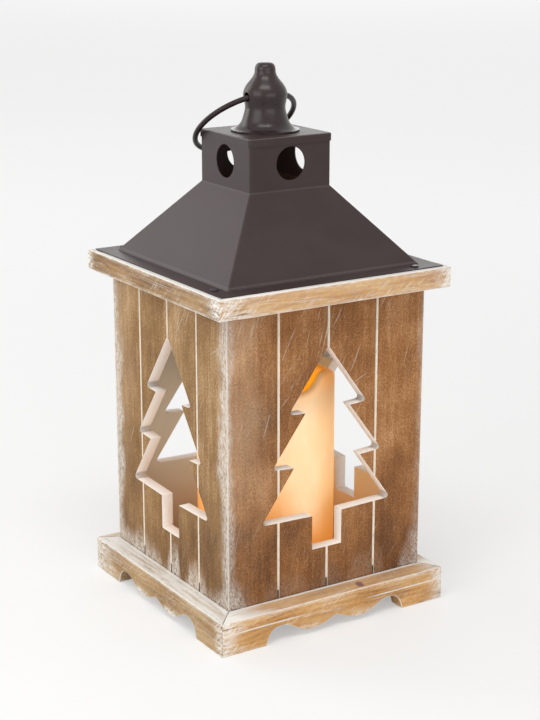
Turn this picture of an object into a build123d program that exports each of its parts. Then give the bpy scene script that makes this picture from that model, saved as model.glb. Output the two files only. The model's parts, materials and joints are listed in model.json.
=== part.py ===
from build123d import *
import math
import os

os.makedirs("parts", exist_ok=True)

# Lantern standing on its plinth, millimetres, +Z up.
# Origin on the table under its centre, front wall towards -Y.
plinth_width = 145.0
body_width = 125.0
wall_thickness = 7.0
wall_bottom = 10.0
wall_top = 182.0
groove_spacing = 31.3
groove_width = 1.3
groove_depth = 0.9

# Tree cut-out, measured from the middle of a wall: half widths, then heights above the table.
tree_apex_height = 157.6
tier_tips = ((25.1, 123.1), (35.4, 94.0), (42.0, 64.3))
tier_notches = ((14.3, 122.4), (21.4, 93.1))
trunk_half_width = 9.5
trunk_top = 63.4
trunk_bottom = 44.0
cut_radius = 1.5

# Plinth strips: foot, arch, ogee and centre cusp of the scalloped edge.
plinth_outer_height = 19.0
plinth_inner_height = 20.6
foot_inner = 45.0
arch_peak = (36.0, 9.5)
ogee_low = (16.0, 3.0)
cusp_height = 7.4
wood_edge = 0.8

rail_thickness = 11.2
rail_width = 24.5
floor_thickness = 5.0
access_radius = 35.0

# Sheet-metal roof.
sheet = 0.6
flange_width = 138.8
skirt_base_width = 118.6
skirt_base_height = 194.9
collar_width = 50.8
collar_bottom = 234.9
collar_corner = 1.0
vent_radius = 9.0
vent_height = 249.0
cap_top = 263.4
cap_lip = 4.2
cap_gap = 0.05
nail_head_radius = 2.2
nail_head_height = 0.9
nail_shank_radius = 0.8
nail_length = 9.0
nail_along = 54.0
nail_out = 64.5

# Finial and carrying ring.
finial_rim_radius = 18.6
finial_wall = 1.0
finial_top = 300.0
bell_flare = ((15.8, 265.4), (13.2, 268.0), (11.9, 271.4), (10.9, 276.2))
bell_shoulder = ((11.9, 283.2), (9.6, 288.6), (6.6, 292.4))
finial_neck = (5.6, 296.2)
finial_crown = (4.5, 299.0)
hollow_flare = ((14.6, 265.0), (12.1, 267.8), (10.8, 271.4), (9.9, 276.2))
hollow_shoulder = ((10.7, 283.0), (8.0, 287.8), (3.6, 290.2))
hollow_top = 290.6
hinge_height = 282.0
hinge_hole_radius = 2.6
ring_radius = 29.0
wire_radius = 1.5
ring_half_chord = 11.0
ring_dip = 38.0
ring_tilt = 2.0

# LED candle.
candle_radius = 39.0
candle_height = 118.5
cup_radius = 33.0
cup_depth = 33.5
dip_radius = 25.0
dip_depth = 9.0
dip_angle = -105.0
box_radius = 34.0
box_height = 20.0
post_radius = 5.8
post_bore = 3.2
post_play = 0.4
board_thickness = 1.6
board_radius = 31.0
cell_radius = 7.15
cell_body = 49.2
cell_nub = 1.3
cell_nub_radius = 2.7
contact_sheet = 0.4
bay_length = 53.0
bay_width = 30.0
bay_roof = 2.0
lid_length = 56.0
lid_width = 32.0
lid_thickness = 2.4
lid_corner = 4.0
lid_gap = 0.35
pin_radius = 0.7
pin_play = 0.05
pin_reach = 1.5
lid_grip_length = 14.0
lid_grip_width = 1.2
lid_grip_depth = 0.6
lid_grip_inset = 8.0
box_wall = 2.0
pocket_web = 1.7
cell_spacing = 14.8
cell_edge = 0.5
contact_half_height = 6.0
tab_width = 4.0
screw_spots = ((0, -25.0), (-14.0, 22.5), (14.0, 22.5))
screw_radius = 1.1
screw_length = 6.0
screw_head_radius = 1.9
screw_head_height = 1.3
boss_radius = 2.8
switch_centre = 23.5
switch_length = 11.0
switch_width = 6.0
switch_height = 4.5
switch_track = 2.0
switch_wire_radius = 0.5
switch_wire_offset = 2.5
knob_travel = 4.0
knob_length = 3.0
knob_width = 2.4
knob_shoulder = 0.8
knob_reach = 1.2
knob_edge = 0.4
knob_gap = 0.3
led_radius = 2.5
led_flange_radius = 2.9
led_flange = 1.0
led_body = 5.0
led_play = 0.2
lead_radius = 0.3
lead_offset = 1.27
flame_height = 25.0
flame_foot = 4.6
flame_belly = 6.0
flame_tip = 0.6

wall_half = body_width / 2
plinth_half = plinth_width / 2
inside_half = wall_half - wall_thickness
rail_top = wall_top + rail_thickness
floor_top = wall_bottom + floor_thickness
sides = (("front", 0), ("right", 90), ("back", 180), ("left", 270))


def save(piece, name):
    piece.part.label = name
    export_step(piece.part, f"parts/{name}.step")


def save_round(piece, name):
    """Write the front piece and its three turned copies, one for each side."""
    for side, turn in sides:
        with BuildPart() as turned:
            add(piece.part, rotation=(0, 0, turn))
        save(turned, f"{name}_{side}")


def mitred(outer, inner):
    """Plan of a front piece whose ends meet its neighbours on the diagonals."""
    Polygon((-outer, -outer), (outer, -outer), (inner, -inner), (-inner, -inner), align=None)


# Wall panel with its grooves and the tree-shaped opening.
tree_points = [(0, tree_apex_height)]
for (tip, tip_height), (notch, notch_height) in zip(tier_tips, tier_notches):
    tree_points += [(tip, tip_height), (notch, notch_height)]
tree_points += [tier_tips[-1], (trunk_half_width, trunk_top), (trunk_half_width, trunk_bottom)]
tree_points += [(-across, up) for across, up in reversed(tree_points[1:])]

with BuildPart() as wall:
    with BuildSketch(Plane.XY.offset(wall_bottom)):
        mitred(wall_half, inside_half)
    extrude(amount=wall_top - wall_bottom)
    with BuildSketch(Plane.XZ.offset(wall_half + 1)) as tree:
        Polygon(*tree_points, align=None)
        tips = [v for v in tree.vertices() if abs(v.X) > tier_tips[0][0] - 1 or v.Y > tree_apex_height - 1]
        fillet(tips, radius=cut_radius)
    extrude(amount=-(wall_thickness + 2), mode=Mode.SUBTRACT)
    with BuildSketch(Plane.XY.offset(wall_bottom)):
        for across in (-groove_spacing, 0, groove_spacing):
            with Locations((across, -wall_half)):
                Polygon((-groove_width / 2, 0), (groove_width / 2, 0), (0, groove_depth), align=None)
    extrude(amount=wall_top - wall_bottom, mode=Mode.SUBTRACT)
save_round(wall, "wall")

# Plinth strip: sloping top, scalloped lower edge, ends mitred.
with BuildPart() as plinth:
    with BuildSketch(Plane.YZ.offset(-plinth_half)):
        Polygon(
            (-plinth_half, 0),
            (-wall_half, 0),
            (-wall_half, plinth_inner_height),
            (-plinth_half, plinth_outer_height),
            align=None,
        )
    extrude(amount=plinth_width)
    with BuildSketch():
        mitred(plinth_half, wall_half)
    extrude(amount=plinth_inner_height, mode=Mode.INTERSECT)
    with BuildSketch(Plane.XZ.offset(plinth_half + 1)):
        with BuildLine():
            Spline((foot_inner, 0), arch_peak, tangents=((-0.25, 1), (-1, 0)))
            Spline(arch_peak, ogee_low, tangents=((-1, 0), (-1, 0)))
            Spline(ogee_low, (0, cusp_height), tangents=((-1, 0), (-1, 0.35)))
            mirror(about=Plane.YZ)
            Line((-foot_inner, 0), (foot_inner, 0))
        make_face()
    extrude(amount=-(plinth_half - wall_half + 2), mode=Mode.SUBTRACT)
    outer_edges = plinth.edges().filter_by(Axis.X).group_by(Axis.Y)[0]
    fillet(outer_edges.sort_by(Axis.Z)[-1], radius=wood_edge)
save_round(plinth, "plinth")

# Floor board glued between the walls, open under the candle.
with BuildPart() as floor_board:
    with BuildSketch(Plane.XY.offset(wall_bottom)):
        Rectangle(2 * inside_half, 2 * inside_half)
        Circle(access_radius, mode=Mode.SUBTRACT)
    extrude(amount=floor_thickness)
save(floor_board, "floor_board")

# Top rail, bored for one roof nail.
nail_spot = (nail_along, -nail_out)
with BuildPart() as rail:
    with BuildSketch(Plane.XY.offset(wall_top)):
        mitred(plinth_half, plinth_half - rail_width)
    extrude(amount=rail_thickness)
    outer_edges = rail.edges().filter_by(Axis.X).group_by(Axis.Y)[0]
    fillet(outer_edges, radius=wood_edge)
    with BuildSketch(Plane.XY.offset(rail_top)):
        with Locations(nail_spot):
            Circle(nail_shank_radius)
    extrude(amount=-nail_length, mode=Mode.SUBTRACT)
save_round(rail, "top_rail")

# Roof skirt: a sheet pyramid with a flat flange nailed to the rails.
skirt_slope = (skirt_base_width - collar_width) / 2 / (collar_bottom - skirt_base_height)
skirt_foot_half = skirt_base_width / 2 + skirt_slope * (skirt_base_height - rail_top)
skirt_skin = sheet * math.sqrt(1 + skirt_slope**2)
with BuildPart() as roof_skirt:
    with BuildSketch(Plane.XY.offset(rail_top)):
        Rectangle(2 * skirt_foot_half, 2 * skirt_foot_half)
    with BuildSketch(Plane.XY.offset(collar_bottom)):
        Rectangle(collar_width, collar_width)
    loft()
    hips = roof_skirt.edges().filter_by(lambda e: abs(e.center().X) > 1 and abs(e.center().Y) > 1)
    fillet(hips, radius=collar_corner)
    with BuildSketch(Plane.XY.offset(rail_top)):
        Rectangle(flange_width, flange_width)
    extrude(amount=sheet)
    with BuildSketch(Plane.XY.offset(rail_top)):
        Rectangle(2 * (skirt_foot_half - skirt_skin), 2 * (skirt_foot_half - skirt_skin))
    with BuildSketch(Plane.XY.offset(collar_bottom)):
        Rectangle(collar_width - 2 * skirt_skin, collar_width - 2 * skirt_skin)
    loft(mode=Mode.SUBTRACT)
    with BuildSketch(Plane.XY.offset(rail_top)):
        with PolarLocations(math.hypot(*nail_spot), 4, math.degrees(math.atan2(-nail_out, nail_along))):
            Circle(nail_shank_radius)
    extrude(amount=sheet, mode=Mode.SUBTRACT)
save(roof_skirt, "roof_skirt")

# Roof nails with domed heads, one on each side of the flange.
with BuildPart() as roof_nail:
    with BuildSketch(Plane.XY.offset(rail_top + sheet)):
        with Locations(nail_spot):
            Circle(nail_head_radius)
    extrude(amount=nail_head_height)
    fillet(roof_nail.edges().sort_by(Axis.Z)[-1], radius=nail_head_height * 0.8)
    with BuildSketch(Plane.XY.offset(rail_top + sheet)):
        with Locations(nail_spot):
            Circle(nail_shank_radius)
    extrude(amount=-(nail_length + sheet))
with BuildPart() as roof_nails:
    for side, turn in sides:
        add(roof_nail.part, rotation=(0, 0, turn))
save(roof_nails, "roof_nails")

# Roof collar: a square tube with a vent hole in each face.
collar_inside = collar_width - 2 * sheet
with BuildPart() as roof_collar:
    with BuildSketch(Plane.XY.offset(collar_bottom)):
        RectangleRounded(collar_width, collar_width, collar_corner)
        RectangleRounded(collar_inside, collar_inside, collar_corner - sheet, mode=Mode.SUBTRACT)
    extrude(amount=cap_top - sheet - collar_bottom)
    for across in (Plane.XZ, Plane.YZ):
        with BuildSketch(across):
            with Locations((0, vent_height)):
                Circle(vent_radius)
        extrude(amount=collar_width, both=True, mode=Mode.SUBTRACT)
save(roof_collar, "roof_collar")

# Roof cap: a folded lid over the collar.
cap_inside = collar_width + 2 * cap_gap
cap_width = cap_inside + 2 * sheet
with BuildPart() as roof_cap:
    with BuildSketch(Plane.XY.offset(cap_top - cap_lip)):
        RectangleRounded(cap_width, cap_width, collar_corner + sheet)
    extrude(amount=cap_lip)
    fillet(roof_cap.faces().sort_by(Axis.Z)[-1].edges(), radius=sheet)
    with BuildSketch(Plane.XY.offset(cap_top - cap_lip)):
        RectangleRounded(cap_inside, cap_inside, collar_corner)
    extrude(amount=cap_lip - sheet, mode=Mode.SUBTRACT)
save(roof_cap, "roof_cap")

# Finial: a hollow spun bell with a solid knob, bored for the ring.
hollow_rim_radius = finial_rim_radius - 2 * finial_wall
with BuildPart() as finial:
    with BuildSketch(Plane.XZ):
        with BuildLine():
            Line((0, cap_top), (finial_rim_radius, cap_top))
            Line((finial_rim_radius, cap_top), (finial_rim_radius, cap_top + finial_wall))
            Spline((finial_rim_radius, cap_top + finial_wall), *bell_flare, *bell_shoulder, finial_neck)
            Spline(finial_neck, finial_crown, (0, finial_top), tangents=((-0.08, 1), (-1, 0)))
            Line((0, finial_top), (0, cap_top))
        make_face()
    revolve(axis=Axis.Z)
    with BuildSketch(Plane.XZ):
        with BuildLine():
            Line((0, cap_top), (hollow_rim_radius, cap_top))
            Spline((hollow_rim_radius, cap_top), *hollow_flare, *hollow_shoulder, (0, hollow_top))
            Line((0, hollow_top), (0, cap_top))
        make_face()
    revolve(axis=Axis.Z, mode=Mode.SUBTRACT)
    with BuildSketch(Plane.YZ):
        with Locations((0, hinge_height)):
            Circle(hinge_hole_radius)
    extrude(amount=finial_rim_radius, both=True, mode=Mode.SUBTRACT)
save(finial, "finial")

# Carrying ring, lying round the back corners of the cap, its right side a little higher.
ring_drop = math.sqrt(ring_radius**2 - ring_half_chord**2)
hinge_plane = Plane(origin=(0, 0, hinge_height)).rotated((-ring_dip, -ring_tilt, 0))
ring_plane = Plane(
    origin=hinge_plane.from_local_coords((0, ring_drop, 0)),
    x_dir=hinge_plane.x_dir,
    z_dir=hinge_plane.z_dir,
)
with BuildPart(ring_plane) as hanging_ring:
    Torus(ring_radius, wire_radius)
save(hanging_ring, "hanging_ring")

# Candle: a wax pillar with a melted cup on top and room for the battery box below.
candle_top = floor_top + candle_height
cup_floor = candle_top - cup_depth
box_top = floor_top + box_height
wax_hollow = box_top + board_thickness + 4
with BuildPart() as candle_wax:
    with BuildSketch(Plane.XY.offset(floor_top)):
        Circle(candle_radius)
    extrude(amount=candle_height)
    with BuildSketch(Plane.XY.offset(cup_floor)):
        Circle(cup_radius)
    extrude(amount=cup_depth, mode=Mode.SUBTRACT)
    rim = candle_wax.edges().filter_by(GeomType.CIRCLE).group_by(Axis.Z)[-1]
    fillet(rim, radius=(candle_radius - cup_radius) * 0.42)
    for third in range(3):
        turn = math.radians(dip_angle + 120 * third)
        facing = Plane(
            origin=(0, 0, candle_top + dip_radius - dip_depth),
            x_dir=(-math.sin(turn), math.cos(turn), 0),
            z_dir=(math.cos(turn), math.sin(turn), 0),
        )
        with BuildSketch(facing):
            Circle(dip_radius)
        extrude(amount=candle_radius + 1, mode=Mode.SUBTRACT)
    with BuildSketch(Plane.XY.offset(floor_top)):
        Circle(box_radius)
    extrude(amount=wax_hollow - floor_top, mode=Mode.SUBTRACT)
    with BuildSketch(Plane.XY.offset(wax_hollow)):
        Circle(post_radius + post_play)
    extrude(amount=cup_floor - wax_hollow, mode=Mode.SUBTRACT)
save(candle_wax, "candle_wax")

# Battery box: a round moulding with the cell bay and lid recess below and open pockets above.
bay_ceiling = box_top - bay_roof
hinge_x = -lid_length / 2 + lid_thickness / 2
hinge_z = floor_top + lid_thickness / 2
pocket_floor = floor_top + box_wall
pocket_start = lid_width / 2 + lid_gap + pocket_web
slot_half = knob_length / 2 + knob_travel / 2 + knob_gap
contact_x = bay_length / 2 - contact_sheet
with BuildPart() as battery_box:
    with BuildSketch(Plane.XY.offset(floor_top)):
        Circle(box_radius)
    extrude(amount=box_height)
    with BuildSketch(Plane.XY.offset(pocket_floor)):
        Circle(box_radius - box_wall)
        Rectangle(2 * box_radius, 2 * pocket_start, mode=Mode.SUBTRACT)
    extrude(amount=box_top - pocket_floor, mode=Mode.SUBTRACT)
    with BuildSketch(Plane.XY.offset(pocket_floor)):
        with Locations(*screw_spots):
            Circle(boss_radius)
    extrude(amount=box_top - pocket_floor)
    with BuildSketch(Plane.XY.offset(box_top)):
        with Locations(*screw_spots):
            Circle(screw_radius)
    extrude(amount=-screw_length, mode=Mode.SUBTRACT)
    with BuildSketch(Plane.XY.offset(floor_top)):
        Rectangle(bay_length, bay_width)
    extrude(amount=bay_ceiling - floor_top, mode=Mode.SUBTRACT)
    with BuildSketch(Plane.XY.offset(floor_top)):
        RectangleRounded(lid_length + 2 * lid_gap, lid_width + 2 * lid_gap, lid_corner + lid_gap)
        with Locations((hinge_x, 0)):
            Rectangle(lid_thickness + 2 * lid_gap, lid_width + 2 * lid_gap)
    extrude(amount=lid_thickness + lid_gap, mode=Mode.SUBTRACT)
    with BuildSketch(Plane.XZ):
        with Locations((hinge_x, hinge_z)):
            Circle(pin_radius + pin_play)
    extrude(amount=lid_width / 2 + pin_reach + lid_gap, both=True, mode=Mode.SUBTRACT)
    with BuildSketch(Plane.XY.offset(floor_top)):
        with Locations((0, switch_centre)):
            Rectangle(2 * slot_half, knob_width + 2 * knob_gap)
    extrude(amount=pocket_floor - floor_top, mode=Mode.SUBTRACT)
    with BuildSketch(Plane.XY.offset(bay_ceiling)):
        with GridLocations(0, cell_spacing, 1, 2):
            with Locations((-bay_length / 2 + contact_sheet / 2, 0)):
                Rectangle(contact_sheet, tab_width)
    extrude(amount=bay_roof, mode=Mode.SUBTRACT)
save(battery_box, "battery_box")

# Battery lid: half-round hinge end with two pins, thumb grooves at the free end.
with BuildPart() as battery_lid:
    with BuildSketch(Plane.XY.offset(floor_top)):
        RectangleRounded(lid_length, lid_width, lid_corner)
    extrude(amount=lid_thickness)
    with BuildSketch(Plane.XZ):
        with Locations((hinge_x, hinge_z)):
            Circle(lid_thickness / 2)
            with Locations((lid_length / 2, 0)):
                Rectangle(lid_length, lid_thickness)
    extrude(amount=lid_width / 2, both=True, mode=Mode.INTERSECT)
    with BuildSketch(Plane.XZ):
        with Locations((hinge_x, hinge_z)):
            Circle(pin_radius)
    extrude(amount=lid_width / 2 + pin_reach, both=True)
    with BuildSketch(Plane.XY.offset(floor_top)):
        with Locations((lid_length / 2 - lid_grip_inset, 0)):
            with GridLocations(2 * lid_grip_width, 0, 3, 1):
                SlotOverall(lid_grip_length, lid_grip_width, rotation=90)
    extrude(amount=lid_grip_depth, mode=Mode.SUBTRACT)
save(battery_lid, "battery_lid")

# Two cells laid side by side, plus ends opposite.
cell_height = bay_ceiling - cell_radius
for name, across, plus in (("battery_left", -cell_spacing / 2, 1), ("battery_right", cell_spacing / 2, -1)):
    cell_start = Plane(origin=(-plus * (cell_body + cell_nub) / 2, across, cell_height), z_dir=(plus, 0, 0))
    with BuildPart() as cell:
        with BuildSketch(cell_start):
            Circle(cell_radius)
        extrude(amount=cell_body)
        fillet(cell.edges().filter_by(GeomType.CIRCLE), radius=cell_edge)
        with BuildSketch(cell_start.offset(cell_body)):
            Circle(cell_nub_radius)
        extrude(amount=cell_nub)
    save(cell, name)

# Leaf contacts: one plate joins the cells, two with tabs reach the circuit board.
bump_reach = contact_x - (cell_body + cell_nub) / 2
with BuildPart() as contact_bridge:
    with BuildSketch(Plane.YZ.offset(contact_x)):
        with Locations((0, cell_height)):
            Rectangle(cell_spacing + 2 * contact_half_height, 2 * contact_half_height)
    extrude(amount=contact_sheet)
    with BuildSketch(Plane.YZ.offset(contact_x)):
        with Locations((-cell_spacing / 2, cell_height), (cell_spacing / 2, cell_height)):
            Circle(cell_nub_radius)
    extrude(amount=-bump_reach)
save(contact_bridge, "contact_bridge")

for name, across in (("contact_minus", -cell_spacing / 2), ("contact_plus", cell_spacing / 2)):
    with BuildPart() as contact:
        with BuildSketch(Plane.YZ.offset(-contact_x)):
            with Locations((across, cell_height)):
                Rectangle(2 * contact_half_height, 2 * contact_half_height)
            with Locations((across, (cell_height + box_top) / 2)):
                Rectangle(tab_width, box_top - cell_height)
        extrude(amount=-contact_sheet)
        with BuildSketch(Plane.YZ.offset(-contact_x)):
            with Locations((across, cell_height)):
                Circle(cell_nub_radius)
        extrude(amount=bump_reach)
    save(contact, name)

# Slide switch on the pocket floor, its knob reaching down through the slot.
track_half = knob_width / 2 + knob_shoulder + knob_gap
with BuildPart() as switch_body:
    with BuildSketch(Plane.XY.offset(pocket_floor)):
        with Locations((0, switch_centre)):
            Rectangle(switch_length, switch_width)
    extrude(amount=switch_height)
    with BuildSketch(Plane.XY.offset(pocket_floor)):
        with Locations((0, switch_centre)):
            Rectangle(2 * slot_half, 2 * track_half)
    extrude(amount=switch_track, mode=Mode.SUBTRACT)
save(switch_body, "switch_body")

# The knob stands at its on end.
knob_x = knob_travel / 2
with BuildPart() as switch_knob:
    with BuildSketch(Plane.XY.offset(pocket_floor + knob_gap)):
        with Locations((knob_x, switch_centre)):
            Rectangle(knob_length, knob_width + 2 * knob_shoulder)
    extrude(amount=switch_track - 2 * knob_gap)
    with BuildSketch(Plane.XY.offset(floor_top - knob_reach)):
        with Locations((knob_x, switch_centre)):
            Rectangle(knob_length, knob_width)
    extrude(amount=box_wall + knob_gap + knob_reach)
    fillet(switch_knob.edges().group_by(Axis.Z)[0], radius=knob_edge)
save(switch_knob, "switch_knob")

switch_top = pocket_floor + switch_height
with BuildPart() as switch_wires:
    with BuildSketch(Plane.XY.offset(switch_top)):
        with Locations((-switch_wire_offset, switch_centre), (switch_wire_offset, switch_centre)):
            Circle(switch_wire_radius)
    extrude(amount=box_top - switch_top)
save(switch_wires, "switch_wires")

# Circuit board on the box, held by three screws.
board_top = box_top + board_thickness
with BuildPart() as circuit_board:
    with BuildSketch(Plane.XY.offset(box_top)):
        Circle(board_radius)
        with Locations(*screw_spots):
            Circle(screw_radius, mode=Mode.SUBTRACT)
    extrude(amount=board_thickness)
save(circuit_board, "circuit_board")

with BuildPart() as board_screws:
    with BuildSketch(Plane.XY.offset(box_top - screw_length)):
        with Locations(*screw_spots):
            Circle(screw_radius)
    extrude(amount=screw_length + board_thickness)
    with BuildSketch(Plane.XY.offset(board_top)):
        with Locations(*screw_spots):
            Circle(screw_head_radius)
    extrude(amount=screw_head_height)
    fillet(board_screws.edges().group_by(Axis.Z)[-1], radius=screw_head_height / 2)
save(board_screws, "board_screws")

# LED on a tubular post through the wax, with the flame tip over it.
post_top = cup_floor + 1.5 * led_flange
with BuildPart() as led_post:
    with BuildSketch(Plane.XY.offset(board_top)):
        Circle(post_radius)
        Circle(post_bore, mode=Mode.SUBTRACT)
    extrude(amount=post_top - led_flange - board_top)
    with BuildSketch(Plane.XY.offset(post_top - led_flange)):
        Circle(post_radius)
        Circle(led_flange_radius, mode=Mode.SUBTRACT)
    extrude(amount=led_flange)
    with BuildSketch(Plane.XY.offset(post_top - 2 * led_flange)):
        Circle(post_radius)
        with Locations((-lead_offset, 0), (lead_offset, 0)):
            Circle(lead_radius, mode=Mode.SUBTRACT)
    extrude(amount=led_flange)
save(led_post, "led_post")

with BuildPart() as led:
    with BuildSketch(Plane.XY.offset(post_top - led_flange)):
        Circle(led_flange_radius)
    extrude(amount=led_flange)
    with BuildSketch(Plane.XY.offset(post_top)):
        Circle(led_radius)
    extrude(amount=led_body)
    fillet(led.edges().group_by(Axis.Z)[-1], radius=led_radius * 0.95)
save(led, "led")

with BuildPart() as led_leads:
    with BuildSketch(Plane.XY.offset(board_top)):
        with Locations((-lead_offset, 0), (lead_offset, 0)):
            Circle(lead_radius)
    extrude(amount=post_top - led_flange - board_top)
save(led_leads, "led_leads")

flame_top = post_top + flame_height
with BuildPart() as candle_flame:
    with BuildSketch(Plane.XZ):
        with BuildLine():
            Line((0, post_top), (flame_foot, post_top))
            Spline(
                (flame_foot, post_top),
                (flame_belly, post_top + 0.28 * flame_height),
                (0.57 * flame_belly, post_top + 0.72 * flame_height),
                (flame_tip, flame_top),
            )
            Line((flame_tip, flame_top), (0, flame_top))
            Line((0, flame_top), (0, post_top))
        make_face()
    revolve(axis=Axis.Z)
    with BuildSketch(Plane.XY.offset(post_top)):
        Circle(led_radius + led_play)
    extrude(amount=led_body + led_play, mode=Mode.SUBTRACT)
save(candle_flame, "candle_flame")
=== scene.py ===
import bmesh
import bpy
import json
import math
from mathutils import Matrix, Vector

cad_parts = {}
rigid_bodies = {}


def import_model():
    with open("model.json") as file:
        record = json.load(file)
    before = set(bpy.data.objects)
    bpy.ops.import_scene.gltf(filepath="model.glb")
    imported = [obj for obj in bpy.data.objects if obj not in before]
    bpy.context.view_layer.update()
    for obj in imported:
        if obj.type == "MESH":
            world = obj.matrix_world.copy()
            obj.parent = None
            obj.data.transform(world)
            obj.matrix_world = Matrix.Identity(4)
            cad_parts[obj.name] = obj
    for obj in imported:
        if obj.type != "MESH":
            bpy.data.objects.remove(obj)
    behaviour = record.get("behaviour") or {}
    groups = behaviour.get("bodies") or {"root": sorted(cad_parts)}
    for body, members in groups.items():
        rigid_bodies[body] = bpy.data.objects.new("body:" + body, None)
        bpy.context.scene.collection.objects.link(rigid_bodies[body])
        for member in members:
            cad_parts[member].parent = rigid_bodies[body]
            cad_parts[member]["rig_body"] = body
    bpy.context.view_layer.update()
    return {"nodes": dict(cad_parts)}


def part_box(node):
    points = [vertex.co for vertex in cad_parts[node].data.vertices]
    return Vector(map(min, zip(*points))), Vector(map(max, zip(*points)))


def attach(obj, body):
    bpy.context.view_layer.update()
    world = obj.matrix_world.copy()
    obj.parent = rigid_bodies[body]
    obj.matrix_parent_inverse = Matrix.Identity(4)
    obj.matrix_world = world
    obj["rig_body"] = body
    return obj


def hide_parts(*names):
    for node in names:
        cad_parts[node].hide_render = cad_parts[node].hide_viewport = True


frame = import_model()
mm = 0.001
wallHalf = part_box("wall_front")[1].x / mm
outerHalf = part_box("plinth_front")[1].x / mm  # of plinth and rails
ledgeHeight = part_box("plinth_front")[1].z / mm
sideAxes = {  # along the wall to the right seen from outside, then outward
    "front": ((1, 0, 0), (0, -1, 0)),
    "right": ((0, 1, 0), (1, 0, 0)),
    "back": ((-1, 0, 0), (0, 1, 0)),
    "left": ((0, -1, 0), (-1, 0, 0)),
}
print("frame loaded with", len(frame["nodes"]), "nodes")


class Value:
    # a shader value that stands in Python sums
    def __init__(self, finish, socket):
        self.finish = finish
        self.socket = socket

    def __add__(self, other):
        return self.finish.maths("ADD", self, other)

    def __sub__(self, other):
        return self.finish.maths("SUBTRACT", self, other)

    def __mul__(self, other):
        return self.finish.maths("MULTIPLY", self, other)

    def __truediv__(self, other):
        return self.finish.maths("DIVIDE", self, other)

    def __pow__(self, other):
        return self.finish.maths("POWER", self, other)

    def __rsub__(self, other):
        return self.finish.maths("SUBTRACT", other, self)

    def __rtruediv__(self, other):
        return self.finish.maths("DIVIDE", other, self)

    def __abs__(self):
        return self.finish.maths("ABSOLUTE", self)

    __radd__ = __add__
    __rmul__ = __mul__

    def least(self, other):
        return self.finish.maths("MINIMUM", self, other)

    def most(self, other):
        return self.finish.maths("MAXIMUM", self, other)

    def wave(self):
        return self.finish.maths("SINE", self)

    def rise(self, low, high):
        # 0 below low, 1 above high, smooth between; falls where low is the larger
        first, last = min(low, high), max(low, high)
        ends = {"To Min": 0.0, "To Max": 1.0} if low < high else {"To Min": 1.0, "To Max": 0.0}
        made = self.finish.node(
            "ShaderNodeMapRange",
            {"interpolation_type": "SMOOTHSTEP"},
            {"Value": self, "From Min": first, "From Max": last, **ends},
        )
        return Value(self.finish, made.outputs["Result"])


class Finish:
    # one node material, built on a Principled shader
    def __init__(self, name, **plain):
        self.material = bpy.data.materials.new(name)
        self.material.use_nodes = True
        self.tree = self.material.node_tree
        self.tree.nodes.clear()
        self.shader = self.node("ShaderNodeBsdfPrincipled", {}, plain)
        self.output = self.node("ShaderNodeOutputMaterial", {}, {"Surface": self.shader.outputs[0]})
        self.seat = self.node("ShaderNodeTexCoord").outputs["Object"]

    def node(self, kind, settings=None, inputs=None):
        made = self.tree.nodes.new(kind)
        for key, setting in (settings or {}).items():
            if key == "stops":
                self.setStops(made.color_ramp, setting)
            else:
                setattr(made, key, setting)
        for key, term in (inputs or {}).items():
            self.feed(made.inputs[key], term)
        return made

    def setStops(self, ramp, stops):
        while len(ramp.elements) < len(stops):
            ramp.elements.new(0.5)
        for element, (place, colour) in zip(ramp.elements, stops):
            element.position = place
            element.color = colour

    def feed(self, socket, term):
        if isinstance(term, Value):
            self.tree.links.new(term.socket, socket)
        elif isinstance(term, bpy.types.NodeSocket):
            self.tree.links.new(term, socket)
        else:
            socket.default_value = term

    def maths(self, operation, *terms):
        made = self.node("ShaderNodeMath", {"operation": operation})
        for socket, term in zip(made.inputs, terms):
            self.feed(socket, term)
        return Value(self, made.outputs[0])

    def dot(self, vector, axis):
        made = self.node("ShaderNodeVectorMath", {"operation": "DOT_PRODUCT"})
        self.feed(made.inputs[0], vector)
        self.feed(made.inputs[1], axis)
        return Value(self, made.outputs["Value"])

    def point(self, x, y, z):
        return self.node("ShaderNodeCombineXYZ", {}, {"X": x, "Y": y, "Z": z}).outputs[0]

    def noise(self, vector, scale=1.0, detail=3.0, rough=0.55):
        inputs = {"Vector": vector, "Scale": scale, "Detail": detail, "Roughness": rough}
        return Value(self, self.node("ShaderNodeTexNoise", {}, inputs).outputs[0])

    def blend(self, first, second, share):
        made = self.node("ShaderNodeMix", {"data_type": "RGBA", "clamp_factor": True})
        self.feed(made.inputs[0], share)
        self.feed(made.inputs[6], first)
        self.feed(made.inputs[7], second)
        return made.outputs[2]

    def ramp(self, value, stops):
        return self.node("ShaderNodeValToRGB", {"stops": stops}, {"Fac": value}).outputs[0]

    def axis(self, direction):
        # distance along a direction of the frame, in millimetres
        return self.dot(self.seat, direction) * 1000.0

    def facing(self, direction):
        return self.dot(self.node("ShaderNodeNewGeometry").outputs["Normal"], direction)

    def bump(self, height, strength, distance):
        inputs = {"Height": height, "Strength": strength, "Distance": distance}
        self.feed(self.shader.inputs["Normal"], self.node("ShaderNodeBump", {}, inputs).outputs[0])

    def paint(self, **sockets):
        for key, term in sockets.items():
            self.feed(self.shader.inputs[key.replace("_", " ")], term)
        return self.material


class Sky(Finish):
    # the world's nodes, made by the same method
    def __init__(self, name):
        self.world = bpy.data.worlds.new(name)
        self.world.use_nodes = True
        self.tree = self.world.node_tree
        self.tree.nodes.clear()


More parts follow.
